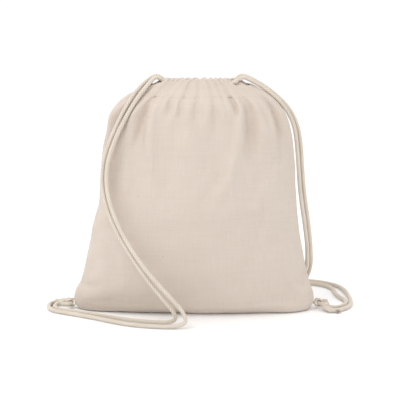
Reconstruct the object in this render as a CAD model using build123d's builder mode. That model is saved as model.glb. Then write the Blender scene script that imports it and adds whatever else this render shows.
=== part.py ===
from build123d import *
import math
import os

# Cotton drawstring backpack, filled out and standing on its base, mouth drawn closed.
# Frame: millimetres, +Z up, +X to the right seen from the front, front face towards -Y,
# origin on the ground under the middle of the bag.

os.makedirs("parts", exist_ok=True)

# ---- driving dimensions ------------------------------------------------------------
WALL = 1.8                # stand-in thickness of the calico, the real cloth is 0.4 mm
TOP_Z = 342.0             # top fold of the gathered casing
CASING_LOW_Z = 320.0      # stitch line that closes the cord channel
CASING_X = 7.0            # the gathered mouth sits a little right of the base's middle
CASING_HALF = 57.5        # half the width of the gathered mouth
CASING_DEPTH = 20.4       # half its depth, front face to the middle of the mouth
CHANNEL_HALF = 44.0       # half the length of the cord channel between the side slits
SLIT_WIDTH = 40.0         # from the channel's end out past the side of the bag
SLIT_FOOT = 7.0           # from the stitch line up to the foot of a side slit
MOUTH_GAP = 4.5           # half the slit left between the two hems
HEM = 1.4                 # thickness of a turned-in hem
HEM_CLEAR = 2.0           # gap between a hem and the panel outside it
HEM_CURVE = 6.0           # how much nearer the mouth a hem's foot is at its ends
CORD = 6.0                # cord diameter
CORD_INNER_Y = 9.0        # the left cord's place in the channel
CORD_OUTER_Y = 15.4       # the right cord's place in the channel
CORD_HIGH_Z = 334.0       # a cord's height where it leaves the channel
CORD_LOW_Z = 327.0        # a cord's height where it turns round at the far slit
TURN_PAST = 4.0           # from the channel's end to the start of that turn
TURN_NARROW = 0.6         # the turn's own width as a share of the two runs' spacing
ENTRY_IN = 2.0            # a cord reaches its height this far inside the channel
ARC_SHARE = 0.45          # share of the shorter run that an arc may take up
EXIT_X = 54.5             # from the casing's middle to a strap's exit
EXIT_Z = 342.5            # height of a strap's exit
SEAM_WIDTH = 9.0          # seam allowance inside the bag
SEAM_THICK = 1.6
SEAM_CLEAR = 0.3          # gap between a seam allowance and the panels' inside
LOOP_X = 184.5            # middle of a corner loop's hole
LOOP_Z = 8.5
LOOP_HOLE = 8.5
TAPE = 1.5                # thickness of the loop's tape
TAPE_WIDTH = 8.0
SEWN_X = 177.7            # the tape's sewn ends meet the corner here
SEWN_LENGTH = 2.3
SEWN_HEIGHT = 6.0
LOOP_OUTER_CORNER = 4.0   # corner radii of the tape loop
LOOP_INNER_CORNER = 3.0
RING_RADIUS = 8.6         # bight of cord through a corner loop
KNOT_X = 192.5            # middle of a corner knot, the left one behind its loop
KNOT_Y = 11.5
KNOT_Z = 7.5
KNOT_RADIUS = 7.0
STITCH_LENGTH = 3.0
STITCH_PITCH = 4.5
THREAD = 0.7
STITCH_OUT = 1.05         # from the cloth's outline to the middle of a casing stitch
TACK_LENGTH = 7.0         # a tack's threads, side by side across a slit or a loop
TACK_OUT = 2.94           # from the cloth's outline to the middle of a slit tack's thread
SLIT_TACK_LOW_Z = 316.0
SLIT_TACK_STEP = 0.91
SLIT_TACK_THREADS = 5
LOOP_TACK_STEP = 1.3
LOOP_TACK_THREADS = 4
OUTLINE_STEPS = 12        # points along half of a section's outline
FOOT_POWER = 2.6          # power of the outline at the casing's stitch line

# The filled bag in level sections: height, half width, half depth, and the power of the
# section's outline, from 2 for an ellipse to 5 for the boxy neck of the casing.
SECTIONS = [
    (0.0, 171.0, 32.0, 2.0),
    (10.0, 177.0, 41.0, 2.0),
    (22.0, 178.0, 47.0, 2.0),
    (45.0, 170.0, 56.0, 2.0),
    (85.0, 160.0, 66.0, 2.0),
    (130.0, 151.5, 72.0, 2.0),
    (180.0, 145.5, 74.0, 2.0),
    (230.0, 141.0, 70.0, 2.0),
    (270.0, 132.0, 62.0, 2.1),
    (295.0, 123.0, 53.0, 2.2),
    (309.0, 111.5, 46.0, 2.3),
    (CASING_LOW_Z, 93.5, 36.0, FOOT_POWER),
    (329.0, 71.0, 25.5, 4.0),
    (TOP_Z, CASING_HALF, CASING_DEPTH, 5.0),
]

# Strap strands, as the corners of their routes from the casing to the corner knot. Each
# strap is one cord's two ends: one leaves the front channel, the other the back channel.
LEFT_BACK_ROUTE = [
    (-48.2, 9.0, 343.0), (-54.5, 9.0, 348.0), (-65.0, -1.0, 343.5), (-82.5, -22.0, 329.0),
    (-100.5, -35.0, 301.0), (-117.5, -40.0, 266.0), (-130.0, -38.0, 232.0),
    (-133.0, -42.0, 200.0), (-127.0, -55.0, 169.0), (-113.5, -70.0, 139.0),
    (-96.5, -79.0, 110.0), (-77.5, -85.0, 82.0), (-57.5, -89.5, 56.0), (-42.0, -91.5, 37.0),
    (-29.5, -91.0, 22.0), (-26.0, -86.5, 8.5), (-40.0, -82.0, 3.2), (-61.0, -78.5, 3.2),
    (-90.0, -71.0, 3.2), (-120.0, -57.0, 3.2), (-150.0, -41.0, 3.2), (-183.0, -27.0, 3.2),
    (-203.0, -17.0, 3.2), (-211.5, -4.0, 3.2), (-209.5, 8.0, 3.3), (-205.0, 13.2, 4.6),
    (-199.9, 13.0, 6.1),
]
LEFT_FRONT_ROUTE = [
    (-48.2, -9.0, 343.0), (-54.5, -9.0, 348.0), (-63.5, -16.5, 340.0), (-79.0, -31.0, 322.0),
    (-95.0, -40.5, 297.0), (-111.5, -44.5, 264.0), (-123.5, -43.0, 231.0),
    (-126.5, -47.0, 200.0), (-120.5, -60.0, 170.0), (-107.0, -74.0, 140.0),
    (-90.5, -83.0, 112.0), (-71.5, -89.5, 86.0), (-50.5, -94.0, 62.0), (-33.0, -97.0, 43.0),
    (-17.5, -99.0, 26.0), (-11.0, -99.0, 10.0), (-23.0, -101.0, 3.2), (-51.0, -100.0, 3.2),
    (-86.0, -92.0, 3.2), (-120.0, -75.0, 3.2), (-153.0, -53.0, 3.2), (-190.0, -34.0, 3.2),
    (-211.0, -23.0, 3.2), (-221.0, -3.0, 3.2), (-217.0, 16.0, 3.2), (-207.0, 25.5, 3.5),
    (-195.5, 26.5, 5.0), (-193.7, 18.9, 6.4),
]
RIGHT_BACK_ROUTE = [
    (62.2, 15.4, 343.0), (67.5, 15.4, 347.8), (80.0, 10.0, 343.3), (105.0, 5.0, 329.5),
    (133.5, 3.0, 305.0), (148.5, 3.0, 279.0), (154.5, 3.0, 249.0), (157.0, 3.0, 213.0),
    (161.0, 4.0, 172.0), (168.0, 6.0, 131.0), (173.0, 12.0, 93.0), (176.0, 27.0, 58.0),
    (170.0, 49.0, 30.0), (156.0, 72.0, 12.0), (147.0, 95.0, 3.2), (152.0, 115.0, 3.2),
    (170.0, 125.5, 3.2), (193.0, 122.0, 3.2), (209.0, 111.0, 3.2), (218.0, 92.0, 3.2),
    (218.0, 69.0, 3.2), (222.0, 46.0, 3.2), (229.5, 28.0, 3.2), (228.0, 8.0, 3.2),
    (216.0, -5.0, 3.3), (207.5, -13.5, 4.6), (199.9, -13.0, 6.1),
]
RIGHT_FRONT_ROUTE = [
    (62.2, -15.4, 343.0), (67.5, -15.4, 347.8), (79.0, -10.5, 342.5), (103.0, -5.0, 328.5),
    (129.5, -4.0, 304.0), (143.5, -4.0, 278.0), (148.0, -4.0, 249.0), (151.0, -4.0, 213.0),
    (154.5, -3.0, 172.0), (161.5, 0.0, 131.0), (167.0, 6.0, 94.0), (169.0, 21.0, 60.0),
    (163.0, 43.0, 32.0), (149.0, 66.0, 14.0), (138.0, 90.0, 3.2), (142.0, 116.0, 3.2),
    (158.0, 136.0, 3.2), (183.0, 139.0, 3.2), (208.0, 128.0, 3.2), (228.0, 109.0, 3.2),
    (235.5, 82.0, 3.2), (237.0, 56.0, 3.2), (237.5, 30.0, 3.2), (234.0, 4.0, 3.2),
    (223.0, -12.5, 3.2), (209.0, -23.5, 3.5), (195.5, -26.5, 5.0), (193.7, -18.9, 6.4),
]


def lean(height):
    """Sideways lean of the bag at this height."""
    return CASING_X * height / TOP_Z


def half_outline(height, half_width, half_depth, power, side):
    """Points of one half of a section's outline, from the left seam to the right seam."""
    points = []
    for step in range(OUTLINE_STEPS + 1):
        angle = math.pi * (1 - step / OUTLINE_STEPS)
        across = math.copysign(abs(math.cos(angle)) ** (2 / power), math.cos(angle))
        out = abs(math.sin(angle)) ** (2 / power)
        points.append((lean(height) + half_width * across, side * half_depth * out))
    points[0] = (lean(height) - half_width, 0)
    points[-1] = (lean(height) + half_width, 0)
    return points


def outline_at(height):
    """Half width and half depth of the bag at a height, straight between sections."""
    for low, high in zip(SECTIONS, SECTIONS[1:]):
        if low[0] <= height <= high[0]:
            part_way = (height - low[0]) / (high[0] - low[0])
            half_width = low[1] + part_way * (high[1] - low[1])
            half_depth = low[2] + part_way * (high[2] - low[2])
            return half_width, half_depth
    return SECTIONS[-1][1:3]


def save(part, name):
    """Label a finished piece and write it as its own file."""
    part.label = name
    export_step(part, f"parts/{name}.step")


# ---- cloth panels: front and back half of the bag, casing's outer layer included ----
for name, side in (("front_panel", -1), ("back_panel", 1)):
    with BuildPart() as panel:
        for height, half_width, half_depth, power in SECTIONS:
            outside = half_outline(height, half_width, half_depth, power, side)
            inside = half_outline(height, half_width - WALL, half_depth - WALL, power, side)
            with BuildSketch(Plane.XY.offset(height)):
                with BuildLine():
                    outer_edge = Spline(*outside)
                    inner_edge = Spline(*inside)
                    Line(outer_edge @ 0, inner_edge @ 0)
                    Line(outer_edge @ 1, inner_edge @ 1)
                make_face()
        loft()
        with BuildSketch():
            with BuildLine():
                base_edge = Spline(*half_outline(*SECTIONS[0], side))
                Line(base_edge @ 0, base_edge @ 1)
            make_face()
        extrude(amount=WALL)
        slit_height = TOP_Z - CASING_LOW_Z - SLIT_FOOT
        for end in (-1, 1):
            slit_x = CASING_X + end * (CHANNEL_HALF + SLIT_WIDTH / 2)
            with Locations((slit_x, 0, TOP_Z - slit_height / 2)):
                Box(SLIT_WIDTH, 3 * CASING_DEPTH, slit_height + 1, mode=Mode.SUBTRACT)
    save(panel.part, name)


# ---- turned-in hems: inner layer, top fold and stitched foot of each cord channel ----
foot_half_width, foot_half_depth = outline_at(CASING_LOW_Z)
foot_out = foot_half_depth - WALL - HEM_CLEAR
foot_out_end = foot_out - HEM_CURVE
for name, side in (("front_casing_hem", -1), ("back_casing_hem", 1)):
    with BuildPart() as hem:
        left, right = CASING_X - CHANNEL_HALF, CASING_X + CHANNEL_HALF
        with BuildSketch(Plane.XY.offset(CASING_LOW_Z)):
            with BuildLine():
                near, far = side * MOUTH_GAP, side * foot_out_end
                ThreePointArc((left, far), (CASING_X, side * foot_out), (right, far))
                Polyline((right, far), (right, near), (left, near), (left, far))
            make_face()
        extrude(amount=HEM)
        with BuildSketch(Plane.XY.offset(CASING_LOW_Z)):
            with Locations((CASING_X, side * (MOUTH_GAP + HEM / 2))):
                Rectangle(2 * CHANNEL_HALF, HEM)
        extrude(amount=TOP_Z - CASING_LOW_Z)
        fold_out = CASING_DEPTH - WALL - HEM_CLEAR
        fold_depth = fold_out - MOUTH_GAP
        with BuildSketch(Plane.XY.offset(TOP_Z - HEM)):
            with Locations((CASING_X, side * (MOUTH_GAP + fold_depth / 2))):
                Rectangle(2 * CHANNEL_HALF, fold_depth)
        extrude(amount=HEM)
    save(hem.part, name)


# ---- stitching along the foot of each casing: one thread bar per stitch --------------
stitch_count = int(2 * CHANNEL_HALF / STITCH_PITCH)
for name, side in (("front_casing_stitching", -1), ("back_casing_stitching", 1)):
    with BuildPart() as stitching:
        for number in range(stitch_count + 1):
            along = (number - stitch_count / 2) * STITCH_PITCH
            flatness = 1 - (along / foot_half_width) ** FOOT_POWER
            out = foot_half_depth * abs(flatness) ** (1 / FOOT_POWER)
            place = (CASING_X + along, side * (out + STITCH_OUT), CASING_LOW_Z)
            with Locations(place):
                Box(STITCH_LENGTH, THREAD, THREAD)
    save(stitching.part, name)


# ---- seam allowances inside the bag ---------------------------------------------------
for name, side in (("left_side_seam", -1), ("right_side_seam", 1)):
    edge = []
    for height, half_width, half_depth, power in SECTIONS[1:-3]:
        edge.append((lean(height) + side * (half_width - WALL - SEAM_CLEAR), height))
    inside = [(x - side * SEAM_WIDTH, z) for x, z in edge]
    with BuildPart() as seam:
        with BuildSketch(Plane.XZ.offset(-SEAM_THICK / 2)):
            with BuildLine():
                outer_edge = Spline(*edge)
                inner_edge = Spline(*inside)
                Line(outer_edge @ 0, inner_edge @ 0)
                Line(outer_edge @ 1, inner_edge @ 1)
            make_face()
        extrude(amount=SEAM_THICK)
    save(seam.part, name)

with BuildPart() as bottom_seam:
    with BuildSketch(Plane.XY.offset(WALL)):
        Rectangle(2 * (SECTIONS[0][1] - 2 * SEAM_WIDTH), SEAM_THICK)
    extrude(amount=SEAM_WIDTH)
save(bottom_seam.part, "bottom_seam")


# ---- thread tacks at the foot of each side slit ----------------------------------------
for name, side in (("left_slit_tack", -1), ("right_slit_tack", 1)):
    with BuildPart() as tack:
        for number in range(SLIT_TACK_THREADS):
            thread_z = SLIT_TACK_LOW_Z + number * SLIT_TACK_STEP
            thread_x = lean(thread_z) + side * (outline_at(thread_z)[0] + TACK_OUT)
            with Locations((thread_x, 0, thread_z)):
                Box(THREAD, TACK_LENGTH, THREAD)
    save(tack.part, name)


# ---- tape loops sewn into the bottom corners --------------------------------------------
loop_size = LOOP_HOLE + 2 * TAPE
for name, side in (("left_corner_loop", -1), ("right_corner_loop", 1)):
    with BuildPart() as loop:
        with BuildSketch(Plane.XZ.offset(-TAPE_WIDTH / 2)):
            with Locations((side * LOOP_X, LOOP_Z)):
                RectangleRounded(loop_size, loop_size, LOOP_OUTER_CORNER)
                RectangleRounded(LOOP_HOLE, LOOP_HOLE, LOOP_INNER_CORNER, mode=Mode.SUBTRACT)
        extrude(amount=TAPE_WIDTH)
        with Locations((side * (SEWN_X + SEWN_LENGTH / 2), 0, LOOP_Z)):
            Box(SEWN_LENGTH, TAPE_WIDTH, SEWN_HEIGHT)
    save(loop.part, name)

for name, side in (("left_loop_tack", -1), ("right_loop_tack", 1)):
    with BuildPart() as tack:
        for number in range(LOOP_TACK_THREADS):
            along = (number - (LOOP_TACK_THREADS - 1) / 2) * LOOP_TACK_STEP
            with Locations((side * LOOP_X + along, 0, LOOP_Z + (loop_size + THREAD) / 2)):
                Box(THREAD, TACK_LENGTH, THREAD)
    save(tack.part, name)


# ---- cords ---------------------------------------------------------------------------
def arc_radii(points):
    """Each corner's arc: a share of its shorter run over the tangent of half the turn."""
    radii = []
    for before, corner, after in zip(points, points[1:], points[2:]):
        incoming = Vector(*corner) - Vector(*before)
        outgoing = Vector(*after) - Vector(*corner)
        half_turn = math.radians(incoming.get_angle(outgoing)) / 2
        shorter = min(incoming.length, outgoing.length)
        radii.append(ARC_SHARE * shorter / math.tan(half_turn))
    return radii


def cord_tube(points, name):
    """A round cord along straight runs joined by arcs."""
    radii = arc_radii(points)
    with BuildPart() as tube:
        with BuildLine() as path:
            centre_line = FilletPolyline(*points, radius=radii)
        with BuildSketch(Plane(origin=centre_line @ 0, z_dir=centre_line % 0)):
            Circle(CORD / 2)
        sweep()
    length = centre_line.length
    expected = math.pi * (CORD / 2) ** 2 * length
    print(f"{name}: length {length:.0f}, least radius {min(radii):.1f}, "
          f"volume over section x length {tube.part.volume / expected:.4f}")
    print("   radii", [round(radius) for radius in radii])
    return tube.part


# The run inside the casing: in at the strap's slit, through the front channel, round the
# far slit and back through the back channel.
for name, side, run_y in (("left_casing_cord", -1, CORD_INNER_Y),
                          ("right_casing_cord", 1, CORD_OUTER_Y)):
    far_x = CASING_X - side * (CHANNEL_HALF + TURN_PAST)
    near_x = CASING_X + side * (CHANNEL_HALF - ENTRY_IN)
    turn_x = far_x - side * run_y
    front_half = [
        (CASING_X + side * EXIT_X, -run_y, EXIT_Z),
        (near_x, -run_y, CORD_HIGH_Z),
        (CASING_X, -run_y, (CORD_HIGH_Z + CORD_LOW_Z) / 2),
        (far_x, -run_y, CORD_LOW_Z),
        (turn_x, -run_y * TURN_NARROW, CORD_LOW_Z),
    ]
    back_half = [(x, -y, z) for x, y, z in reversed(front_half)]
    run = cord_tube(front_half + back_half, name)
    save(run, name)

for name, route in (("left_strap_back_strand", LEFT_BACK_ROUTE),
                    ("left_strap_front_strand", LEFT_FRONT_ROUTE),
                    ("right_strap_back_strand", RIGHT_BACK_ROUTE),
                    ("right_strap_front_strand", RIGHT_FRONT_ROUTE)):
    strand = cord_tube(route, name)
    save(strand, name)


# ---- knots: the tied ends at each corner, with the bight through the tape loop ----------
# Each strap swings about the line from its slit to the middle of its knot.
for name, side in (("left_cord_knot", -1), ("right_cord_knot", 1)):
    with BuildPart() as knot:
        with Locations((side * (LOOP_X + RING_RADIUS), 0, LOOP_Z)):
            Torus(RING_RADIUS, CORD / 2)
        with Locations((side * KNOT_X, -side * KNOT_Y, KNOT_Z)):
            Sphere(KNOT_RADIUS)
    save(knot.part, name)
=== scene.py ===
import math

import bpy
import numpy as np
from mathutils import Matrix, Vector, kdtree


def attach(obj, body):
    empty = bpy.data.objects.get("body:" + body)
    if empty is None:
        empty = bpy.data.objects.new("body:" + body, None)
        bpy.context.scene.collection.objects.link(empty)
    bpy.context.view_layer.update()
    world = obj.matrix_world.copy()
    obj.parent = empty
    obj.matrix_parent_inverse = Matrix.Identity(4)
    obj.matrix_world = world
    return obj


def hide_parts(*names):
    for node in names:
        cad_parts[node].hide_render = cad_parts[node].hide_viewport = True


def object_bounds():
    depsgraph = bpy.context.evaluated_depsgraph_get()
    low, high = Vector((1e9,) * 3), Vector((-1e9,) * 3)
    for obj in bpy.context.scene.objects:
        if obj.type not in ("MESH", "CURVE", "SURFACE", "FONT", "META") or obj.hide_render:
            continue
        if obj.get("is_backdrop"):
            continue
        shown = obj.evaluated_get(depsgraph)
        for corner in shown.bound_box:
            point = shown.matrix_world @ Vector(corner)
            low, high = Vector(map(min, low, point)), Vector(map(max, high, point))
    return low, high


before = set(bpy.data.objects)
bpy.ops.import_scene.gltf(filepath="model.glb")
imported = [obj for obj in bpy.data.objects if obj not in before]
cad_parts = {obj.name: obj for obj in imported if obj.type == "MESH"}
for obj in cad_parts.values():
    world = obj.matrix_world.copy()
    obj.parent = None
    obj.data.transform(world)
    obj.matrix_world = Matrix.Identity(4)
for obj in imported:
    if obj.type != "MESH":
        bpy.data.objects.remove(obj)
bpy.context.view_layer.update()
scene = bpy.context.scene
rng = np.random.default_rng(7)

# the bag's own sizes, in metres
TOP_Z = 0.342
CASING_LOW_Z = 0.320
CASING_X = 0.007
CASING_HALF = 0.0575
CHANNEL_HALF = 0.044
MOUTH_GAP = 0.0045
SLIT_LOW_Z = 0.327
OPEN_Z = 0.3355
PANEL_WIDTH = 0.370
CORD = 0.006
LOOP_X = 0.1845
LOOP_Z = 0.0085
LOOP_HALF = 0.00575
KNOT = Vector((0.1925, 0.0115, 0.0075))
RING_RADIUS = 0.0086
CLOTH = 0.0006
COLUMNS = 128
BASE_ROWS = 7
BASE_INSET = 0.06        # share by which the middle of the base stops short of the corners
LEFT_WIDER = 0.0045      # the lower left side stands out by this much
PRESSURE = 0.4           # the filling, as a pressure on the cloth
FRAMES = 24
MOST_MOVED = 0.007       # no point leaves the filled shape by more than this
KNOT_CORD = 0.0025       # radius of the cord where it is pulled tight in a knot
BIGHT_CORD = 0.0028
TAIL_CORD = 0.0027
BODY_ROWS = 84
CASING_ROWS = 10

# Level sections of the filled bag: height, half width, half depth, power of the outline.
SECTIONS = np.array([
    (0.000, 0.1710, 0.0320, 2.0),
    (0.010, 0.1770, 0.0410, 2.0),
    (0.022, 0.1780, 0.0470, 2.0),
    (0.045, 0.1700, 0.0560, 2.0),
    (0.085, 0.1600, 0.0660, 2.0),
    (0.130, 0.1515, 0.0720, 2.0),
    (0.180, 0.1455, 0.0740, 2.0),
    (0.230, 0.1410, 0.0700, 2.0),
    (0.270, 0.1350, 0.0620, 2.1),
    (0.295, 0.1260, 0.0530, 2.2),
    (0.309, 0.1150, 0.0455, 2.3),
    (0.320, 0.1010, 0.0360, 2.5),
    (0.331, 0.0825, 0.0265, 3.2),
    (0.337, 0.0700, 0.0232, 4.0),
    (TOP_Z, CASING_HALF, 0.0204, 5.0),
])

# Strap strands, from the casing to the corner knot.
LEFT_BACK_ROUTE = [
    (-0.0482, 0.009, 0.343), (-0.0545, 0.009, 0.348), (-0.065, -0.001, 0.3435),
    (-0.0825, -0.022, 0.329), (-0.1005, -0.035, 0.301), (-0.1175, -0.04, 0.266),
    (-0.13, -0.038, 0.232), (-0.133, -0.042, 0.2), (-0.127, -0.055, 0.169),
    (-0.1135, -0.07, 0.139), (-0.0965, -0.079, 0.11), (-0.0775, -0.085, 0.082),
    (-0.0575, -0.0895, 0.056), (-0.042, -0.0915, 0.037), (-0.0295, -0.091, 0.022),
    (-0.026, -0.0865, 0.0085), (-0.04, -0.082, 0.0032), (-0.061, -0.0785, 0.0032),
    (-0.09, -0.071, 0.0032), (-0.12, -0.057, 0.0032), (-0.15, -0.041, 0.0032),
    (-0.183, -0.027, 0.0032), (-0.203, -0.017, 0.0032), (-0.2115, -0.004, 0.0032),
    (-0.2095, 0.008, 0.0033), (-0.205, 0.0132, 0.0046), (-0.1999, 0.013, 0.0061),
]
LEFT_FRONT_ROUTE = [
    (-0.0482, -0.009, 0.343), (-0.0545, -0.009, 0.348), (-0.0635, -0.0165, 0.34),
    (-0.079, -0.031, 0.322), (-0.095, -0.0405, 0.297), (-0.1115, -0.0445, 0.264),
    (-0.1235, -0.043, 0.231), (-0.1265, -0.047, 0.2), (-0.1205, -0.06, 0.17),
    (-0.107, -0.074, 0.14), (-0.0905, -0.083, 0.112), (-0.0715, -0.0895, 0.086),
    (-0.0505, -0.094, 0.062), (-0.033, -0.097, 0.043), (-0.0175, -0.099, 0.026),
    (-0.011, -0.099, 0.01), (-0.023, -0.101, 0.0032), (-0.051, -0.1, 0.0032),
    (-0.086, -0.092, 0.0032), (-0.12, -0.075, 0.0032), (-0.153, -0.053, 0.0032),
    (-0.19, -0.034, 0.0032), (-0.211, -0.023, 0.0032), (-0.221, -0.003, 0.0032),
    (-0.217, 0.016, 0.0032), (-0.207, 0.0255, 0.0035), (-0.1955, 0.0265, 0.005),
    (-0.1937, 0.0189, 0.0064),
]
RIGHT_BACK_ROUTE = [
    (0.0622, 0.0154, 0.343), (0.0675, 0.0154, 0.3478), (0.08, 0.01, 0.3433),
    (0.105, 0.005, 0.3295), (0.1335, 0.003, 0.305), (0.1485, 0.003, 0.279),
    (0.1545, 0.003, 0.249), (0.157, 0.003, 0.213), (0.161, 0.004, 0.172), (0.168, 0.006, 0.131),
    (0.173, 0.012, 0.093), (0.176, 0.027, 0.058), (0.17, 0.049, 0.03), (0.156, 0.072, 0.012),
    (0.147, 0.095, 0.0032), (0.152, 0.115, 0.0032), (0.17, 0.1255, 0.0032),
    (0.193, 0.122, 0.0032), (0.209, 0.111, 0.0032), (0.218, 0.092, 0.0032),
    (0.218, 0.069, 0.0032), (0.222, 0.046, 0.0032), (0.2295, 0.028, 0.0032),
    (0.228, 0.008, 0.0032), (0.216, -0.005, 0.0033), (0.2075, -0.0135, 0.0046),
    (0.1999, -0.013, 0.0061),
]
RIGHT_FRONT_ROUTE = [
    (0.0622, -0.0154, 0.343), (0.0675, -0.0154, 0.3478), (0.079, -0.0105, 0.3425),
    (0.103, -0.005, 0.3285), (0.1295, -0.004, 0.304), (0.1435, -0.004, 0.278),
    (0.148, -0.004, 0.249), (0.151, -0.004, 0.213), (0.1545, -0.003, 0.172), (0.1615, 0, 0.131),
    (0.167, 0.006, 0.094), (0.169, 0.021, 0.06), (0.163, 0.043, 0.032), (0.149, 0.066, 0.014),
    (0.138, 0.09, 0.0032), (0.142, 0.116, 0.0032), (0.158, 0.136, 0.0032),
    (0.183, 0.139, 0.0032), (0.208, 0.128, 0.0032), (0.228, 0.109, 0.0032),
    (0.2355, 0.082, 0.0032), (0.237, 0.056, 0.0032), (0.2375, 0.03, 0.0032),
    (0.234, 0.004, 0.0032), (0.223, -0.0125, 0.0032), (0.209, -0.0235, 0.0035),
    (0.1955, -0.0265, 0.005), (0.1937, -0.0189, 0.0064),
]


# materials
def new_material(name, roughness, sheen):
    """An empty fabric material; its colour and bump are linked by the caller."""
    material = bpy.data.materials.new(name)
    material.use_nodes = True
    shader = material.node_tree.nodes["Principled BSDF"]
    shader.inputs["Roughness"].default_value = roughness
    shader.inputs["Sheen Weight"].default_value = sheen
    shader.inputs["Sheen Roughness"].default_value = 0.5
    shader.inputs["Specular IOR Level"].default_value = 0.25
    return material, material.node_tree.nodes, material.node_tree.links, shader


def node(nodes, kind, **settings):
    """A shader node with its plain properties and named input values set."""
    made = nodes.new(kind)
    for key, value in settings.items():
        if key in made.inputs:
            made.inputs[key].default_value = value
        else:
            setattr(made, key, value)
    return made


def maths(nodes, links, operation, first, second=None, third=None):
    """A Math node fed by sockets or numbers; returns its output."""
    made = nodes.new("ShaderNodeMath")
    made.operation = operation
    for slot_number, value in enumerate((first, second, third)):
        if value is None:
            continue
        if isinstance(value, (int, float)):
            made.inputs[slot_number].default_value = value
        else:
            links.new(value, made.inputs[slot_number])
    return made.outputs[0]


def ramp(nodes, links, factor, stops):
    """A Color Ramp with these (position, colour) stops."""
    made = nodes.new("ShaderNodeValToRGB")
    for number, (position, colour) in enumerate(stops):
        if number < 2:
            stop = made.color_ramp.elements[number]
            stop.position = position
        else:
            stop = made.color_ramp.elements.new(position)
        stop.color = (*colour, 1)
    links.new(factor, made.inputs[0])
    return made.outputs[0]


def mix(nodes, links, kind, factor, first, second):
    """A colour Mix node of the given blend type."""
    made = nodes.new("ShaderNodeMix")
    made.data_type = "RGBA"
    made.blend_type = kind
    if isinstance(factor, (int, float)):
        made.inputs[0].default_value = factor
    else:
        links.new(factor, made.inputs[0])
    for value, socket in ((first, made.inputs[6]), (second, made.inputs[7])):
        if isinstance(value, tuple):
            socket.default_value = (*value, 1)
        else:
            links.new(value, socket)
    return made.outputs[2]


def stretched(nodes, links, source, scale):
    """The source vector scaled by axis."""
    made = nodes.new("ShaderNodeVectorMath")
    made.operation = "MULTIPLY"
    made.inputs[1].default_value = scale
    links.new(source, made.inputs[0])
    return made.outputs[0]


def noise(nodes, links, vector, scale, detail=2.0):
    """The value of a Noise texture."""
    made = node(nodes, "ShaderNodeTexNoise", Scale=scale, Detail=detail)
    links.new(vector, made.inputs["Vector"])
    return made.outputs[0]


def calico(name, pale, mid, dark, thread_pitch):
    """Unbleached plain weave: two sets of uneven yarns, slubs and a few dark seed flecks."""
    material, nodes, links, shader = new_material(name, 0.92, 0.12)
    grain = node(nodes, "ShaderNodeAttribute", attribute_name="grain").outputs["Vector"]
    parts = nodes.new("ShaderNodeSeparateXYZ")
    links.new(grain, parts.inputs[0])
    across, along = parts.outputs[0], parts.outputs[1]
    turns = math.pi / thread_pitch
    warp = maths(nodes, links, "SINE", maths(nodes, links, "MULTIPLY", across, turns))
    weft = maths(nodes, links, "SINE", maths(nodes, links, "MULTIPLY", along, turns))
    warp_crown = maths(nodes, links, "ABSOLUTE", warp)
    weft_crown = maths(nodes, links, "ABSOLUTE", weft)
    over = maths(nodes, links, "MULTIPLY", warp, weft)
    warp_slub = noise(nodes, links, stretched(nodes, links, grain, (900, 28, 1)), 1.0)
    weft_slub = noise(nodes, links, stretched(nodes, links, grain, (28, 900, 7)), 1.0)
    slubs = maths(nodes, links, "ADD", warp_slub, weft_slub)
    broad = noise(nodes, links, grain, 26.0, 4.0)
    tone = maths(nodes, links, "MULTIPLY_ADD", slubs, 0.40,
                 maths(nodes, links, "MULTIPLY", broad, 0.20))
    colour = ramp(nodes, links, tone, [(0.30, dark), (0.74, pale), (0.50, mid)])
    gaps = maths(nodes, links, "MULTIPLY", warp_crown, weft_crown)
    shade = ramp(nodes, links, gaps, [(0.0, (0.90, 0.885, 0.865)), (0.35, (1, 1, 1))])
    colour = mix(nodes, links, "MULTIPLY", 1.0, colour, shade)
    fleck_cells = node(nodes, "ShaderNodeTexVoronoi", Scale=150.0)
    links.new(stretched(nodes, links, grain, (1.0, 0.8, 1.0)), fleck_cells.inputs["Vector"])
    cell_parts = nodes.new("ShaderNodeSeparateColor")
    links.new(fleck_cells.outputs["Color"], cell_parts.inputs[0])
    chosen = maths(nodes, links, "GREATER_THAN", cell_parts.outputs[0], 0.975)
    near = maths(nodes, links, "LESS_THAN", fleck_cells.outputs["Distance"], 0.10)
    fleck = maths(nodes, links, "MULTIPLY", chosen, near)
    fleck = maths(nodes, links, "MULTIPLY", fleck, 0.55)
    colour = mix(nodes, links, "MIX", fleck, colour, (0.20, 0.13, 0.075))
    links.new(colour, shader.inputs["Base Color"])
    height = maths(nodes, links, "MULTIPLY_ADD", over, 0.25,
                   maths(nodes, links, "MULTIPLY", gaps, 0.6))
    height = maths(nodes, links, "MULTIPLY_ADD", slubs, 0.9, height)
    bump = node(nodes, "ShaderNodeBump", Strength=0.55, Distance=0.00022)
    links.new(height, bump.inputs["Height"])
    links.new(bump.outputs[0], shader.inputs["Normal"])
    rough = maths(nodes, links, "MULTIPLY_ADD", slubs, 0.08, 0.84)
    links.new(rough, shader.inputs["Roughness"])
    return material


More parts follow.
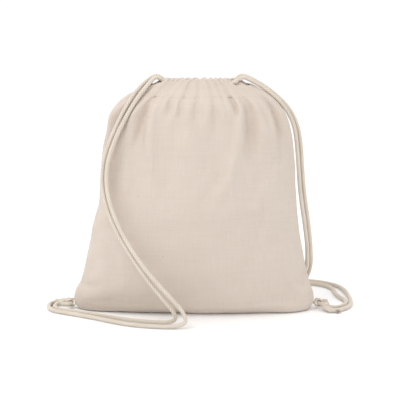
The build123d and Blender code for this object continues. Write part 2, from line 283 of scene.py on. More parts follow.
def yarn(name, pale, mid, groove_shade, fibre_scale, depth):
    """Cotton yarn: fibres along the "lay" attribute, with painted shade where it dips between
    yarns.
    """
    material, nodes, links, shader = new_material(name, 0.88, 0.2)
    lay = node(nodes, "ShaderNodeAttribute", attribute_name="lay").outputs["Vector"]
    parts = nodes.new("ShaderNodeSeparateXYZ")
    links.new(lay, parts.inputs[0])
    crown = parts.outputs[2]
    fibres = noise(nodes, links, stretched(nodes, links, lay, fibre_scale), 1.0, 3.0)
    place = node(nodes, "ShaderNodeTexCoord").outputs["Object"]
    broad = noise(nodes, links, place, 55.0, 3.0)
    tone = maths(nodes, links, "MULTIPLY_ADD", fibres, 0.6,
                 maths(nodes, links, "MULTIPLY", broad, 0.4))
    colour = ramp(nodes, links, tone, [(0.36, mid), (0.64, pale)])
    # painted shade: the groove colour darkens where the lay's third value (the yarn's crown) is
    # low
    painted_groove_shade = ramp(nodes, links, crown, [(0.10, groove_shade), (0.85, (1, 1, 1))])
    colour = mix(nodes, links, "MULTIPLY", 1.0, colour, painted_groove_shade)
    links.new(colour, shader.inputs["Base Color"])
    bump = node(nodes, "ShaderNodeBump", Strength=0.6, Distance=depth)
    links.new(fibres, bump.inputs["Height"])
    links.new(bump.outputs[0], shader.inputs["Normal"])
    rough = maths(nodes, links, "MULTIPLY_ADD", fibres, 0.12, 0.8)
    links.new(rough, shader.inputs["Roughness"])
    return material


CALICO = calico("calico", (0.682, 0.600, 0.532), (0.648, 0.565, 0.496),
                (0.606, 0.522, 0.454), 0.00050)
# The third colour of each yarn is the painted shade in its grooves.
CORD_COTTON = yarn("cotton_cord", (0.770, 0.700, 0.615), (0.690, 0.615, 0.525),
                   (0.38, 0.33, 0.275), (9, 1.2, 3), 0.00025)
THREAD_COTTON = yarn("thread", (0.80, 0.74, 0.66), (0.70, 0.63, 0.54),
                     (0.60, 0.54, 0.46), (4, 30, 1), 0.0001)
TAPE_COTTON = yarn("cotton_tape", (0.770, 0.690, 0.600), (0.680, 0.595, 0.500),
                   (0.62, 0.55, 0.46), (2400, 260, 1), 0.0002)


# mesh helpers
def grid_faces(rows, columns, closed=False, start=0):
    """Quads of a grid of rows x columns points, wrapped round if closed."""
    faces = []
    for row in range(rows - 1):
        for column in range(columns if closed else columns - 1):
            following = (column + 1) % columns
            faces.append((start + row * columns + column,
                          start + row * columns + following,
                          start + (row + 1) * columns + following,
                          start + (row + 1) * columns + column))
    return faces


def add_piece(name, vertices, faces, body, nodes, material, attributes=()):
    """A smooth mesh piece that rides on a body and stands for its CAD nodes."""
    mesh = bpy.data.meshes.new(name)
    mesh.from_pydata([tuple(v) for v in vertices], [], faces)
    mesh.polygons.foreach_set("use_smooth", [True] * len(mesh.polygons))
    for key, values in attributes:
        layer = mesh.attributes.new(key, "FLOAT_VECTOR", "POINT")
        layer.data.foreach_set("vector", np.asarray(values, np.float32).ravel())
    mesh.materials.append(material)
    mesh.update()
    piece = bpy.data.objects.new(name, mesh)
    scene.collection.objects.link(piece)
    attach(piece, body)
    if nodes:
        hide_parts(*nodes)
    return piece


def spaced(path, step):
    """The path's points again, at even steps along it."""
    path = np.asarray(path, float)
    reach = np.concatenate([[0], np.cumsum(np.linalg.norm(np.diff(path, axis=0), axis=1))])
    count = max(2, int(round(reach[-1] / step)) + 1)
    at = np.linspace(0, reach[-1], count)
    return np.column_stack([np.interp(at, reach, path[:, k]) for k in range(3)]), at


def carried_frames(points):
    """Tangents and two normals carried along the points without twisting."""
    tangents = np.gradient(points, axis=0)
    tangents /= np.linalg.norm(tangents, axis=1)[:, None]
    first = np.zeros_like(points)
    seed = np.array([0.0, 0.0, 1.0])
    if abs(tangents[0] @ seed) > 0.9:
        seed = np.array([0.0, 1.0, 0.0])
    for number, tangent in enumerate(tangents):
        seed = seed - (seed @ tangent) * tangent
        seed = seed / np.linalg.norm(seed)
        first[number] = seed
    return tangents, first, np.cross(tangents, first)


def spline_line(name, route):
    """The points of the smooth NURBS line that has the route as its control points."""
    data = bpy.data.curves.new(name, "CURVE")
    data.dimensions = "3D"
    data.resolution_u = 24
    spline = data.splines.new("NURBS")
    spline.points.add(len(route) - 1)
    for point, corner in zip(spline.points, route):
        point.co = (*corner, 1)
    spline.order_u = 3
    spline.use_endpoint_u = True
    holder = bpy.data.objects.new(name, data)
    scene.collection.objects.link(holder)
    mesh = bpy.data.meshes.new_from_object(holder)
    points = np.array([v.co for v in mesh.vertices])
    bpy.data.objects.remove(holder)
    bpy.data.curves.remove(data)
    bpy.data.meshes.remove(mesh)
    return points


# braided cord
CARRIERS = 5
BRAID_PITCH = 0.0046
AROUND = 30
ALONG = 0.00055


def braid_height(turn, along):
    """Height and lay of a plain braid at an angle (in turns) and a distance along it."""
    right = CARRIERS * turn + along / BRAID_PITCH
    left = CARRIERS * turn - along / BRAID_PITCH
    heights, lays = [], []
    for own, other, sign in ((right, left, 1), (left, right, -1)):
        strand = np.round(own)
        off = own - strand
        crown = np.sqrt(np.clip(1 - (off / 0.56) ** 2, 0, 1))
        over = sign * np.cos(math.pi * (other + strand))
        heights.append(crown * (0.62 + 0.38 * over))
        lays.append((off, other, strand + 17 * (sign > 0)))
    top = heights[0] >= heights[1]
    height = np.where(top, heights[0], heights[1])
    across = np.where(top, lays[0][0], lays[1][0])
    forward = np.where(top, lays[0][1], lays[1][1])
    number = np.where(top, lays[0][2], lays[1][2])
    return height, across + 3.7 * number, forward


def braided_tube(path, radius, step=ALONG, around=AROUND):
    """Vertices, faces and lay of a braided cord along the path, its ends closed."""
    points, at = spaced(path, step)
    tangents, first, second = carried_frames(points)
    turn = np.arange(around) / around
    turns, alongs = np.meshgrid(turn, at)
    height, across, forward = braid_height(turns, alongs)
    out = radius * (0.76 + 0.26 * height)
    ring = (first[:, None] * np.cos(2 * math.pi * turn)[None, :, None]
            + second[:, None] * np.sin(2 * math.pi * turn)[None, :, None])
    vertices = (points[:, None] + ring * out[:, :, None]).reshape(-1, 3)
    # the braid's height, kept as the lay's third value, also sets where painted shade falls
    # between the yarns
    lay = np.stack([across, forward, height], axis=2).reshape(-1, 3)
    faces = grid_faces(len(points), around, closed=True)
    for end, direction in ((0, -1), (len(points) - 1, 1)):
        tip = len(vertices)
        crown = points[end] + direction * tangents[end] * radius * 0.45
        vertices = np.vstack([vertices, crown])
        lay = np.vstack([lay, (0, 0, 0.8)])
        for column in range(around):
            pair = (end * around + column, end * around + (column + 1) % around)
            faces.append((pair[1], pair[0], tip) if direction < 0 else (*pair, tip))
    return vertices, faces, lay


def joined(shapes):
    """Several (vertices, faces, lay) shapes as one."""
    vertices, faces, lays, start = [], [], [], 0
    for shape_vertices, shape_faces, shape_lay in shapes:
        vertices.append(shape_vertices)
        lays.append(shape_lay)
        faces += [tuple(start + index for index in face) for face in shape_faces]
        start += len(shape_vertices)
    return np.vstack(vertices), faces, np.vstack(lays)


def plain_tube(path, radius, around=8, step=0.0006):
    """A thin thread along the path, tapered at its ends."""
    points, at = spaced(path, step)
    tangents, first, second = carried_frames(points)
    turn = np.arange(around) / around
    share = np.linspace(0, 1, len(points))
    taper = np.clip(np.minimum(share, 1 - share) * len(points) / 2.5, 0.15, 1) ** 0.5
    ring = (first[:, None] * np.cos(2 * math.pi * turn)[None, :, None]
            + second[:, None] * np.sin(2 * math.pi * turn)[None, :, None])
    vertices = (points[:, None] + ring * (radius * taper)[:, None, None]).reshape(-1, 3)
    # painted shade along the thread's twist: the lay's third value darkens helical grooves that
    # the tube itself does not have
    twist_shade = np.cos(2 * math.pi * (turn[None, :] * 2 - at[:, None] / 0.0012))
    lay = np.stack([np.broadcast_to(turn * 8, twist_shade.shape),
                    np.broadcast_to(at[:, None] * 1000, twist_shade.shape),
                    0.5 + 0.5 * twist_shade], axis=2).reshape(-1, 3)
    faces = grid_faces(len(points), around, closed=True)
    faces.append(tuple(reversed(range(around))))
    last = (len(points) - 1) * around
    faces.append(tuple(last + column for column in range(around)))
    return vertices, faces, lay


STRANDS = {}
for strap, body, ways in (
        ("left", "left_strap", (("back", LEFT_BACK_ROUTE), ("front", LEFT_FRONT_ROUTE))),
        ("right", "right_strap", (("back", RIGHT_BACK_ROUTE), ("front", RIGHT_FRONT_ROUTE)))):
    for way, route in ways:
        line = spline_line(f"{strap}_{way}_line", route)
        path, at = spaced(line, ALONG)
        tube = braided_tube(line, CORD / 2)
        node_name = f"{strap}_strap_{way}_strand"
        strand = add_piece(f"{node_name}_cord", tube[0], tube[1], body, [node_name],
                           CORD_COTTON, [("lay", tube[2])])
        length = float(np.linalg.norm(np.diff(line, axis=0), axis=1).sum())
        STRANDS[node_name] = path


# cord inside the casing
def casing_route(side, run_y):
    """In at the strap's slit, along the front channel, round the far slit and back."""
    far_x = CASING_X - side * (CHANNEL_HALF + 0.004)
    front = [
        (CASING_X + side * 0.0545, -run_y, 0.3425),
        (CASING_X + side * 0.042, -run_y, 0.334),
        (CASING_X, -run_y, 0.331),
        (far_x, -run_y, 0.327),
        (far_x - side * run_y, -run_y * 0.6, 0.327),
    ]
    return front + [(x, -y, z) for x, y, z in reversed(front)]


for name, side, run_y in (("left_casing_cord", -1, 0.0090), ("right_casing_cord", 1, 0.0154)):
    line = spline_line(f"{name}_line", casing_route(side, run_y))
    tube = braided_tube(line, CORD / 2)
    add_piece(f"{name}_cord", tube[0], tube[1], "bag", [name], CORD_COTTON,
              [("lay", tube[2])])
    STRANDS[name] = spaced(line, ALONG)[0]


# the cloth of the bag
def smooth_rows(table, at):
    """Rows of a table, read on a smooth curve through its lines."""
    steps = np.linalg.norm(np.diff(table[:, [0, 2]], axis=0), axis=1)
    reach = np.concatenate([[0], np.cumsum(steps)])
    slopes = np.gradient(table, reach, axis=0)
    where = np.clip(at, 0, 1) * reach[-1]
    low = np.clip(np.searchsorted(reach, where, side="right") - 1, 0, len(reach) - 2)
    span = reach[low + 1] - reach[low]
    t = ((where - reach[low]) / span)[:, None]
    span = span[:, None]
    return ((2 * t**3 - 3 * t**2 + 1) * table[low] + (t**3 - 2 * t**2 + t) * span * slopes[low]
            + (3 * t**2 - 2 * t**3) * table[low + 1] + (t**3 - t**2) * span * slopes[low + 1])


def outline(half_width, half_depth, power, centre, side):
    """A row of the cloth, at even steps of its own length, and its outward directions."""
    angle = np.linspace(math.pi, 0, 600)
    across = np.sign(np.cos(angle)) * np.abs(np.cos(angle)) ** (2 / power)
    out = np.abs(np.sin(angle)) ** (2 / power)
    points = np.column_stack([centre + half_width * across, side * half_depth * out])
    reach = np.concatenate([[0], np.cumsum(np.linalg.norm(np.diff(points, axis=0), axis=1))])
    at = np.linspace(0, reach[-1], COLUMNS + 1)
    row = np.column_stack([np.interp(at, reach, points[:, k]) for k in range(2)])
    along = np.gradient(row, axis=0)
    outward = np.column_stack([along[:, 1], -along[:, 0]]) * -side
    outward /= np.maximum(np.linalg.norm(outward, axis=1), 1e-9)[:, None]
    return row, outward


def ease(value, low, high):
    """0 at low, 1 at high, smooth between."""
    t = np.clip((value - low) / (high - low), 0, 1)
    return t * t * (3 - 2 * t)


def fold(u, z, u_high, u_low, z_low, width, depth):
    """A soft fold that runs down from the casing: a valley with a ridge on each side."""
    down = np.clip((TOP_Z - z) / (TOP_Z - z_low), 0, 1)
    middle = u_high + (u_low - u_high) * down
    spread = width * (0.55 + 0.9 * down)
    x = (u - middle) / spread
    fade = ease(z, z_low, z_low + 0.45 * (TOP_Z - z_low))
    return -depth * fade * (np.exp(-x**2) - 0.42 * np.exp(-((np.abs(x) - 1.9) ** 2)))


FRONT_FOLDS = [
    (0.315, 0.365, 0.285, 0.016, 0.0066),
    (0.235, 0.215, 0.225, 0.028, 0.0099),
    (0.680, 0.690, 0.285, 0.016, 0.0072),
    (0.765, 0.735, 0.220, 0.028, 0.0099),
    (0.885, 0.900, 0.235, 0.020, 0.0075),
    (0.100, 0.080, 0.235, 0.018, 0.0060),
    (0.405, 0.415, 0.265, 0.020, 0.0036),
    (0.500, 0.475, 0.275, 0.020, 0.0033),
    (0.580, 0.590, 0.265, 0.022, 0.0039),
]
BACK_FOLDS = [
    (0.120, 0.105, 0.220, 0.018, 0.0065),
    (0.235, 0.220, 0.240, 0.016, 0.0060),
    (0.350, 0.335, 0.205, 0.020, 0.0075),
    (0.480, 0.490, 0.250, 0.016, 0.0055),
    (0.600, 0.620, 0.225, 0.018, 0.0065),
    (0.730, 0.755, 0.215, 0.018, 0.0070),
    (0.865, 0.885, 0.240, 0.016, 0.0055),
]
CREASES = [(0.735, 0.115, 0.028, 0.9, 0.0016), (0.20, 0.06, 0.030, -0.7, 0.0014),
           (0.86, 0.05, 0.024, -1.0, 0.0012), (0.45, 0.03, 0.045, 0.3, 0.0010)]


def pleats(u, side):
    """The close gathers of the casing, uneven in width and depth."""
    if side < 0:
        phase = 15.5 * u + 0.34 * np.sin(7.3 * u + 0.4) + 0.21 * np.sin(19.0 * u)
        size = 0.55 + 0.45 * np.sin(11.0 * u + 2.0)
        middle = 0.45 + 0.55 * ease(np.abs(u - 0.5), 0.10, 0.30)
    else:
        phase = 18.5 * u + 0.40 * np.sin(6.1 * u + 1.7) + 0.25 * np.sin(23.0 * u + 1)
        size = 0.75 + 0.25 * np.sin(9.0 * u + 0.5)
        middle = 1.0
    wave = np.cos(2 * math.pi * phase)
    return middle * size * (wave - 0.25 * np.cos(4 * math.pi * phase))


def start_cloth(side):
    """Rows x columns of points of one panel before the cloth is let go."""
    rows = []
    base_row, _ = outline(SECTIONS[0, 1], SECTIONS[0, 2], 2.0, 0.0, side)
    for step in range(BASE_ROWS):
        share = step / BASE_ROWS
        across = base_row[:, 0] * (1 - BASE_INSET + BASE_INSET * share)
        row = np.column_stack([across, base_row[:, 1] * share, np.full(COLUMNS + 1, 0.0004)])
        rows.append(row)
    levels = smooth_rows(SECTIONS, np.linspace(0, 1, BODY_ROWS + CASING_ROWS + 1))
    u = np.linspace(0, 1, COLUMNS + 1)
    near_seam = ease(np.minimum(u, 1 - u), 0.0, 0.045)
    for z, half_width, half_depth, power in levels:
        wider = LEFT_WIDER * ease(-z, -0.170, -0.120)
        centre = CASING_X * z / TOP_Z - wider / 2
        row, outward = outline(half_width - 0.0006 + wider / 2, half_depth - 0.0006, power,
                               centre, side)
        push = np.zeros(COLUMNS + 1)
        for values in FRONT_FOLDS if side < 0 else BACK_FOLDS:
            push += fold(u, z, *values) * ease(-z, -0.332, -0.296)
        gathered = ease(z, 0.268, 0.322)
        push += pleats(u, side) * (0.0025 if side < 0 else 0.0028) * gathered
        push += 0.0012 * ease(z, 0.2, 0.3) * np.sin(2 * math.pi * (5.3 * u + 7 * z))
        for crease_u, crease_z, width, slope, depth in CREASES:
            x = (u - crease_u) - slope * (z - crease_z)
            reach = np.exp(-(((z - crease_z) / 0.045) ** 2))
            push -= depth * reach * np.exp(-((x / width) ** 2))
        shoulder = np.exp(-(((z - 0.302) / 0.016) ** 2)) * ease(0.30 - u, 0.0, 0.24)
        push = push * near_seam + 0.0050 * shoulder
        spiky = 0.0012 if side < 0 else 0.0030
        lift = spiky * pleats(u, -side) * ease(z, 0.336, TOP_Z) * near_seam
        if side < 0:
            low = np.exp(-((z / 0.020) ** 2))
            right = np.exp(-(((row[:, 0] - 0.145) / 0.034) ** 2))
            row = row + np.column_stack([0 * right, -0.0085 * right * low])
            raised = ease(row[:, 0], -0.150, -0.110) * ease(-row[:, 0], -0.010, 0.030)
            lift = lift + 0.0030 * raised * np.exp(-((z / 0.012) ** 2))
        rows.append(np.column_stack([row + outward * push[:, None], z + lift]))
    return np.array(rows)


def simulate(start):
    """Lets the joined cloth of both panels settle under pressure; returns it by panel."""
    count = start[0].shape[0]
    index, vertices = {}, []
    for number in (0, 1):
        for j in range(count):
            for i in range(COLUMNS + 1):
                shared = j == 0 or i in (0, COLUMNS)
                key = ("both" if shared else number, i, j)
                if key not in index:
                    index[key] = len(vertices)
                    vertices.append(start[number][j, i])

    def at(number, i, j):
        shared = j == 0 or i in (0, COLUMNS)
        return index[("both" if shared else number, i, j)]

    faces = []
    for number in (0, 1):
        for j in range(count - 1):
            for i in range(COLUMNS):
                quad = (at(number, i, j), at(number, i + 1, j),
                        at(number, i + 1, j + 1), at(number, i, j + 1))
                faces.append(quad if number == 0 else quad[::-1])
    mesh = bpy.data.meshes.new("cloth_trial")
    mesh.from_pydata([tuple(v) for v in vertices], [], faces)
    trial = bpy.data.objects.new("cloth_trial", mesh)
    scene.collection.objects.link(trial)
    rest = np.array(vertices)
    held = trial.vertex_groups.new(name="held")
    hold = np.clip(ease(rest[:, 2], 0.312, 0.322) + ease(-rest[:, 2], -0.006, -0.001), 0, 1)
    for number, weight in enumerate(hold):
        if weight > 0:
            held.add([number], float(weight), "REPLACE")
    cloth = trial.modifiers.new("cloth", "CLOTH")
    settings = cloth.settings
    settings.quality = 6
    settings.mass = 0.12
    settings.tension_stiffness = settings.compression_stiffness = 60
    settings.shear_stiffness = 24
    settings.bending_stiffness = 0.25
    settings.tension_damping = settings.compression_damping = 6
    settings.shear_damping = 4
    settings.air_damping = 3
    settings.vertex_group_mass = "held"
    settings.pin_stiffness = 1.0
    settings.use_pressure = True
    settings.uniform_pressure_force = PRESSURE
    settings.effector_weights.gravity = 0.05
    cloth.collision_settings.use_collision = False
    cloth.collision_settings.use_self_collision = False
    cloth.point_cache.frame_start, cloth.point_cache.frame_end = 1, FRAMES
    scene.frame_start, scene.frame_end = 1, FRAMES
    for number in range(1, FRAMES + 1):
        scene.frame_set(number)
    graph = bpy.context.evaluated_depsgraph_get()
    settled_mesh = bpy.data.meshes.new_from_object(trial.evaluated_get(graph))
    settled = np.array([v.co for v in settled_mesh.vertices])
    bpy.data.objects.remove(trial)
    bpy.data.meshes.remove(mesh)
    bpy.data.meshes.remove(settled_mesh)
    scene.frame_set(1)
    moved = settled - rest
    far = np.linalg.norm(moved, axis=1)
    limit = np.minimum(1, MOST_MOVED / np.maximum(far, 1e-9))
    settled = rest + moved * limit[:, None]
    done = []
    for number in (0, 1):
        place = np.array([[at(number, i, j) for i in range(COLUMNS + 1)]
                          for j in range(count)])
        done.append(settled[place])
    return done


panels = [start_cloth(-1), start_cloth(1)]
panels = simulate(panels)

# The cords that lie on the cloth, to make room for.
cords = kdtree.KDTree(sum(len(path) for path in STRANDS.values()))
cord_points = np.vstack(list(STRANDS.values()))
for number, point in enumerate(cord_points):
    cords.insert(point, number)
cords.balance()
CLEAR = CORD / 2 + 0.0011


def grid_normals(points, side):
    """Outward normals of a grid of points."""
    along = np.gradient(points, axis=1)
    up = np.gradient(points, axis=0)
    normal = np.cross(along, up) * -side
    return normal / np.maximum(np.linalg.norm(normal, axis=2), 1e-9)[:, :, None]


def ripples(points):
    """Low, broad unevenness of the cloth, the same for every run."""
    x, y, z = points[..., 0], points[..., 1], points[..., 2]
    total = np.zeros_like(x)
    for number in range(14):
        direction = rng.normal(size=3)
        direction /= np.linalg.norm(direction)
        wave = rng.uniform(0.022, 0.060)
        shift = rng.uniform(0, 2 * math.pi)
        total += np.sin((direction[0] * x + direction[1] * y + direction[2] * z)
                        * 2 * math.pi / wave + shift)
    return total / 14


for number, side in ((0, -1), (1, 1)):
    points = panels[number]
    normals = grid_normals(points, side)
    u = np.linspace(0, 1, COLUMNS + 1)[None, :]
    z = points[..., 2]
    calm = ease(z, 0.004, 0.03) * ease(np.minimum(u, 1 - u), 0.0, 0.05)
    by_the_side = (1 - ease(np.minimum(u, 1 - u), 0.04, 0.24)) * ease(-z, -0.26, -0.1)
    handled = 0.0012 + 0.0032 * by_the_side
    points = points + normals * (handled * ripples(points) * calm)[:, :, None]
    pinch = np.exp(-((np.minimum(u, 1 - u) / 0.012) ** 2))
    pucker = np.sin(2 * math.pi * z / 0.0115 + 3 * np.sin(z * 31))
    edge = ease(z, 0.01, 0.03) * ease(-z, -0.322, -0.312)
    points = points - normals * (edge * pinch * (0.0011 + 0.0005 * pucker))[:, :, None]
    for j in range(points.shape[0]):
        for i in range(points.shape[1]):
            where = Vector(points[j, i])
            _, nearest, distance = cords.find(where)
            if distance < CLEAR * 1.8:
                gap = Vector(cord_points[nearest]) - where
                outward = Vector(normals[j, i])
                along_normal = gap.dot(outward)
                sideways = math.sqrt(max(0.0, gap.length_squared - along_normal**2))
                room = math.sqrt(max(0.0, CLEAR**2 - min(sideways, CLEAR) ** 2))
                at_end = min(i, COLUMNS - i) < 0.2 * COLUMNS
                if (points[j, i, 2] < CASING_LOW_Z or at_end) and along_normal < room:
                    points[j, i] -= np.array(outward) * (room - along_normal)
    points[..., 2] = np.maximum(points[..., 2], 0.0003)
    panels[number] = points

shared = (panels[0][:, [0, -1]] + panels[1][:, [0, -1]]) / 2
for number in (0, 1):
    panels[number][:, [0, -1]] = shared

CUT = int(round(COLUMNS * 0.115))
profile = np.concatenate([[0], np.cumsum(np.linalg.norm(
    np.diff(panels[0][:, COLUMNS // 2], axis=0), axis=1))])


def grain_of(rows, columns, offset=0.0):
    """Where the points were in the flat cloth, in metres."""
    across = np.linspace(0, PANEL_WIDTH, COLUMNS + 1)[columns]
    return np.stack(np.meshgrid(across + offset, rows), axis=2)


def with_depth(grain, value):
    return np.dstack([grain, np.full(grain.shape[:2], value)]).reshape(-1, 3)


def as_cloth(piece):
    """Smooths a sheet and gives it the cloth's thickness."""
    smooth = piece.modifiers.new("smooth", "SUBSURF")
    smooth.levels = smooth.render_levels = 1
    thick = piece.modifiers.new("thick", "SOLIDIFY")
    thick.thickness, thick.offset = CLOTH, -1


for number, (side, word) in enumerate(((-1, "front"), (1, "back"))):
    points = panels[number]
    rows, columns = points.shape[:2]
    slit_row = int(np.argmin(np.abs(points[:, COLUMNS // 2, 2] - OPEN_Z)))
    faces = []
    for face in grid_faces(rows, columns):
        row, column = divmod(face[0], columns)
        if row >= slit_row and (column < CUT or column >= columns - 1 - CUT):
            continue
        faces.append(face if side < 0 else face[::-1])
    used = sorted({index for face in faces for index in face})
    new_index = {old: new for new, old in enumerate(used)}
    faces = [tuple(new_index[index] for index in face) for face in faces]
    grain = with_depth(grain_of(profile, np.arange(columns), 0.5 * number), side * 0.1)[used]
    panel = add_piece(f"{word}_panel_cloth", points.reshape(-1, 3)[used], faces, "bag",
                      [f"{word}_panel"], CALICO, [("grain", grain)])
    as_cloth(panel)


# turned-in hems
for number, (side, word) in enumerate(((-1, "front"), (1, "back"))):
    points = panels[number]
    kept = slice(CUT, COLUMNS + 1 - CUT)
    columns = np.arange(COLUMNS + 1)[kept]
    u = columns / COLUMNS
    top = points[-1, kept]
    wave = pleats(u, side) * 0.0011
    inner_y = side * (MOUTH_GAP + 0.0006) + wave * side
    rows = []
    for share in np.linspace(0, 1, 7)[1:]:
        turn = share * math.pi / 2
        y = top[:, 1] + (inner_y - top[:, 1]) * math.sin(turn) ** 0.9
        hump = 0.0016 * math.sin(2 * turn) - 0.0010 * share
        rows.append(np.column_stack([top[:, 0], y, top[:, 2] + hump]))
    for share in np.linspace(0, 1, 9)[1:]:
        low = CASING_LOW_Z + 0.0012
        z = rows[5][:, 2] + (low - rows[5][:, 2]) * share
        sway = 0.0006 * np.sin(9 * share + 40 * u)
        rows.append(np.column_stack([top[:, 0], inner_y + sway * side, z]))
    foot_row = int(np.argmin(np.abs(points[:, COLUMNS // 2, 2] - CASING_LOW_Z)))
    foot = points[foot_row, kept]
    last = rows[-1]
    for share in np.linspace(0, 1, 7)[1:]:
        y = last[:, 1] + (foot[:, 1] - side * 0.0014 - last[:, 1]) * share
        x = last[:, 0] + (foot[:, 0] - last[:, 0]) * share * 0.7
        rows.append(np.column_stack([x, y, np.full(len(y), CASING_LOW_Z + 0.0004)]))
    rows = np.array([top] + rows)
    count = rows.shape[0]
    faces = grid_faces(count, rows.shape[1])
    faces = faces if side < 0 else [face[::-1] for face in faces]
    down = np.concatenate([[0], np.cumsum(np.linalg.norm(
        np.diff(rows[:, rows.shape[1] // 2], axis=0), axis=1))])
    grain = with_depth(grain_of(profile[-1] + down, columns, 0.5 * number), side * 0.1)
    hem = add_piece(f"{word}_hem_cloth", rows.reshape(-1, 3), faces, "bag",
                    [f"{word}_casing_hem"], CALICO, [("grain", grain)])
    as_cloth(hem)


# stitching
def stitch(start, end, outward, radius=0.00032, bow=0.0004):
    """One stitch: a short thread, dipping into the cloth at both ends."""
    start, end = np.asarray(start, float), np.asarray(end, float)
    share = np.linspace(0, 1, 7)[:, None]
    lift = bow * np.sin(math.pi * share) - 0.0002
    path = start + (end - start) * share + np.asarray(outward, float) * lift
    return plain_tube(path, radius)


for number, (side, word) in enumerate(((-1, "front"), (1, "back"))):
    points = panels[number]
    normals = grid_normals(points, side)
    row = int(np.argmin(np.abs(points[:, COLUMNS // 2, 2] - CASING_LOW_Z)))
    kept = slice(CUT, COLUMNS + 1 - CUT)
    line, at = spaced(points[row, kept], 0.00045)
    source = points[row, kept]
    picks = np.array([np.argmin(np.linalg.norm(source - p, axis=1)) for p in line])
    outward = normals[row, kept][picks]
    shapes = []
    for begin in range(0, len(line) - 7, 9):
        shapes.append(stitch(line[begin], line[begin + 6], outward[begin + 3]))
    vertices, faces, lay = joined(shapes)
    add_piece(f"{word}_casing_stitches", vertices, faces, "bag",
                               [f"{word}_casing_stitching"], THREAD_COTTON,
                               [("lay", lay)])


# seam allowances inside the bag
def ribbon(edge, inward, width, name, cad_node):
    """A two-ply seam allowance with an overlocked edge, hanging inside from the seam."""
    edge = np.asarray(edge, float)
    inward = np.asarray(inward, float)
    count = len(edge)
    at = np.concatenate([[0], np.cumsum(np.linalg.norm(np.diff(edge, axis=0), axis=1))])
    sway = np.sin(at * 2 * math.pi / 0.031) + 0.6 * np.sin(at * 2 * math.pi / 0.0123 + 1)
    sideways = np.cross(np.gradient(edge, axis=0), inward)
    sideways /= np.maximum(np.linalg.norm(sideways, axis=1), 1e-9)[:, None]
    rows = []
    for share in np.linspace(0, 1, 6):
        rows.append(edge + inward * width * share
                    + sideways * (0.0007 * share * sway)[:, None])
    rows = np.array(rows)
    across = np.linspace(0, width, 6)
    grain = np.dstack([*np.meshgrid(at, across), np.zeros((6, count))]).reshape(-1, 3)
    piece = add_piece(name, rows.reshape(-1, 3), grid_faces(6, count), "bag", [cad_node],
                      CALICO, [("grain", grain)])
    thick = piece.modifiers.new("thick", "SOLIDIFY")
    thick.thickness, thick.offset = 2 * CLOTH, 0
    shapes = []
    last = rows[-1]
    inner = rows[3]
    for begin in range(1, count - 1, 1):
        over = sideways[begin] * 0.0009
        loop = np.array([inner[begin] + over, last[begin] + over * 0.7,
                         last[begin] + inward[begin] * 0.0006,
                         last[begin] - over * 0.7, inner[begin] - over])
        shapes.append(plain_tube(loop, 0.00025, around=6, step=0.0012))
    vertices, faces, lay = joined(shapes)
    thread = add_piece(f"{name}_overlock", vertices, faces, "bag", [],
                       THREAD_COTTON, [("lay", lay)])
    return piece, thread


for column, side, word in ((0, -1, "left"), (COLUMNS, 1, "right")):
    low_row, high_row = BASE_ROWS + 4, int(np.argmin(np.abs(panels[0][:, 64, 2] - 0.306)))
    edge, _ = spaced(panels[0][low_row:high_row, column], 0.0035)
    inward = np.tile((-side, 0.0, 0.0), (len(edge), 1))
    edge = edge + inward * 0.0012
    ribbon(edge, inward, 0.009, f"{word}_seam_allowance", f"{word}_side_seam")

base_edge = np.array([(x, 0.0, 0.0012) for x in np.linspace(-0.152, 0.152, 90)])
ribbon(base_edge, np.tile((0.0, 0.0, 1.0), (90, 1)), 0.009, "bottom_seam_allowance",
       "bottom_seam")


# bar tacks at the foot of each side slit
slit_row = int(np.argmin(np.abs(panels[0][:, COLUMNS // 2, 2] - SLIT_LOW_Z)))
for column, side, word in ((0, -1, "left"), (COLUMNS, 1, "right")):
    shapes = []
    for step in range(9):
        z_share = step / 8
        row = slit_row - 3 - int(round(4 * z_share))
        foot = panels[0][slit_row - 2, column] * (1 - z_share) + panels[0][
            slit_row - 5, column] * z_share
        reach = 0.0034
        across = [foot + np.array((side * (0.0007 - 0.16 * abs(t) * reach), t * reach, 0))
                  for t in np.linspace(-1, 1, 7)]
        shapes.append(plain_tube(np.array(across), 0.00034))
    vertices, faces, lay = joined(shapes)
    add_piece(f"{word}_slit_bar_tack", vertices, faces, "bag", [f"{word}_slit_tack"],
              THREAD_COTTON, [("lay", lay)])


